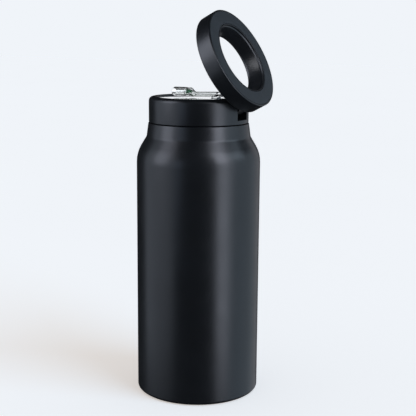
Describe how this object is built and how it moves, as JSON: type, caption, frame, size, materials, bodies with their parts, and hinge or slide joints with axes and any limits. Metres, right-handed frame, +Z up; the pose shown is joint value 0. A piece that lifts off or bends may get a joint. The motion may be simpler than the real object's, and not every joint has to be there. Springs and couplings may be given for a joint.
{
  "type": "insulated bottle with a magnetic phone ring",
  "caption": "Insulated wide-mouth bottle with a screw lid, a flip-up clear spout and a hinged magnetic ring that lifts to hold a phone.",
  "frame": {"origin": "centre of the base pad's underside, on the bottle's axis, where the bottle stands", "axes": "+Z up along the bottle's axis; +X towards the side of the lid with the ring's hinge; +Y along the hinge pin"},
  "size_m": [0.086, 0.08, 0.2485],
  "materials": {
    "black_coat": "matte black powder coat on steel",
    "steel": "plain stainless steel",
    "polished_steel": "polished stainless steel plate",
    "black_plastic": "matte black coated plastic",
    "soft_black": "soft-touch blue-black facing",
    "white_plastic": "translucent white tube",
    "black_rubber": "black silicone rubber",
    "clear_plastic": "clear plastic with a faint green edge",
    "green_silicone": "translucent green silicone",
    "foam": "insulating foam",
    "magnet": "nickel-plated magnet"
  },
  "bodies": {
    "bottle": {"outer_shell": "black_coat", "inner_liner": "steel", "base_cap": "steel", "base_pad": "black_rubber", "vacuum_seal": "steel", "getter": "steel"},
    "seal": {"lid_gasket": "black_rubber"},
    "lid": {"lid_shell": "black_plastic", "screw_plug": "black_plastic", "lid_foam": "foam", "vent_valve": "black_rubber", "top_plate": "polished_steel", "spout_holder": "black_plastic", "spout_seat": "black_rubber", "holder_screw_left": "steel", "holder_screw_right": "steel", "straw": "white_plastic", "hinge_pin": "steel", "hinge_washer_left": "black_rubber", "hinge_washer_right": "black_rubber"},
    "spout": {"mouthpiece": "clear_plastic", "flow_valve": "green_silicone"},
    "phone_ring": {"ring_frame": "black_plastic", "ring_face": "soft_black", "ring_keeper": "steel", "magnet_01": "magnet", "magnet_02": "magnet", "magnet_03": "magnet", "magnet_04": "magnet", "magnet_05": "magnet", "magnet_06": "magnet", "magnet_07": "magnet", "magnet_08": "magnet", "magnet_09": "magnet", "magnet_10": "magnet", "magnet_11": "magnet", "magnet_12": "magnet", "magnet_13": "magnet", "magnet_14": "magnet", "magnet_15": "magnet", "magnet_16": "magnet"}
  },
  "joints": [
    {"name": "lid_lift", "type": "slide", "parent": "bottle", "child": "seal", "axis": [0, 0, 1], "range_m": [0, 0.006]},
    {"name": "lid_turn", "type": "hinge", "parent": "seal", "child": "lid", "pos_m": [0, 0, 0.1775], "axis": [0, 0, 1], "range_deg": [0, 540]},
    {"name": "ring_tilt", "type": "hinge", "parent": "lid", "child": "phone_ring", "pos_m": [0.0271, 0, 0.1869], "axis": [0, 1, 0], "range_deg": [-62.4, 42.6]},
    {"name": "spout_flip", "type": "hinge", "parent": "lid", "child": "spout", "pos_m": [0.0126, 0, 0.1912], "axis": [0, 1, 0], "range_deg": [0, 90]}
  ],
  "couplings": [
    {"joint": "lid_lift", "follows": "lid_turn", "m_per_rad": 0.0006366}
  ]
}
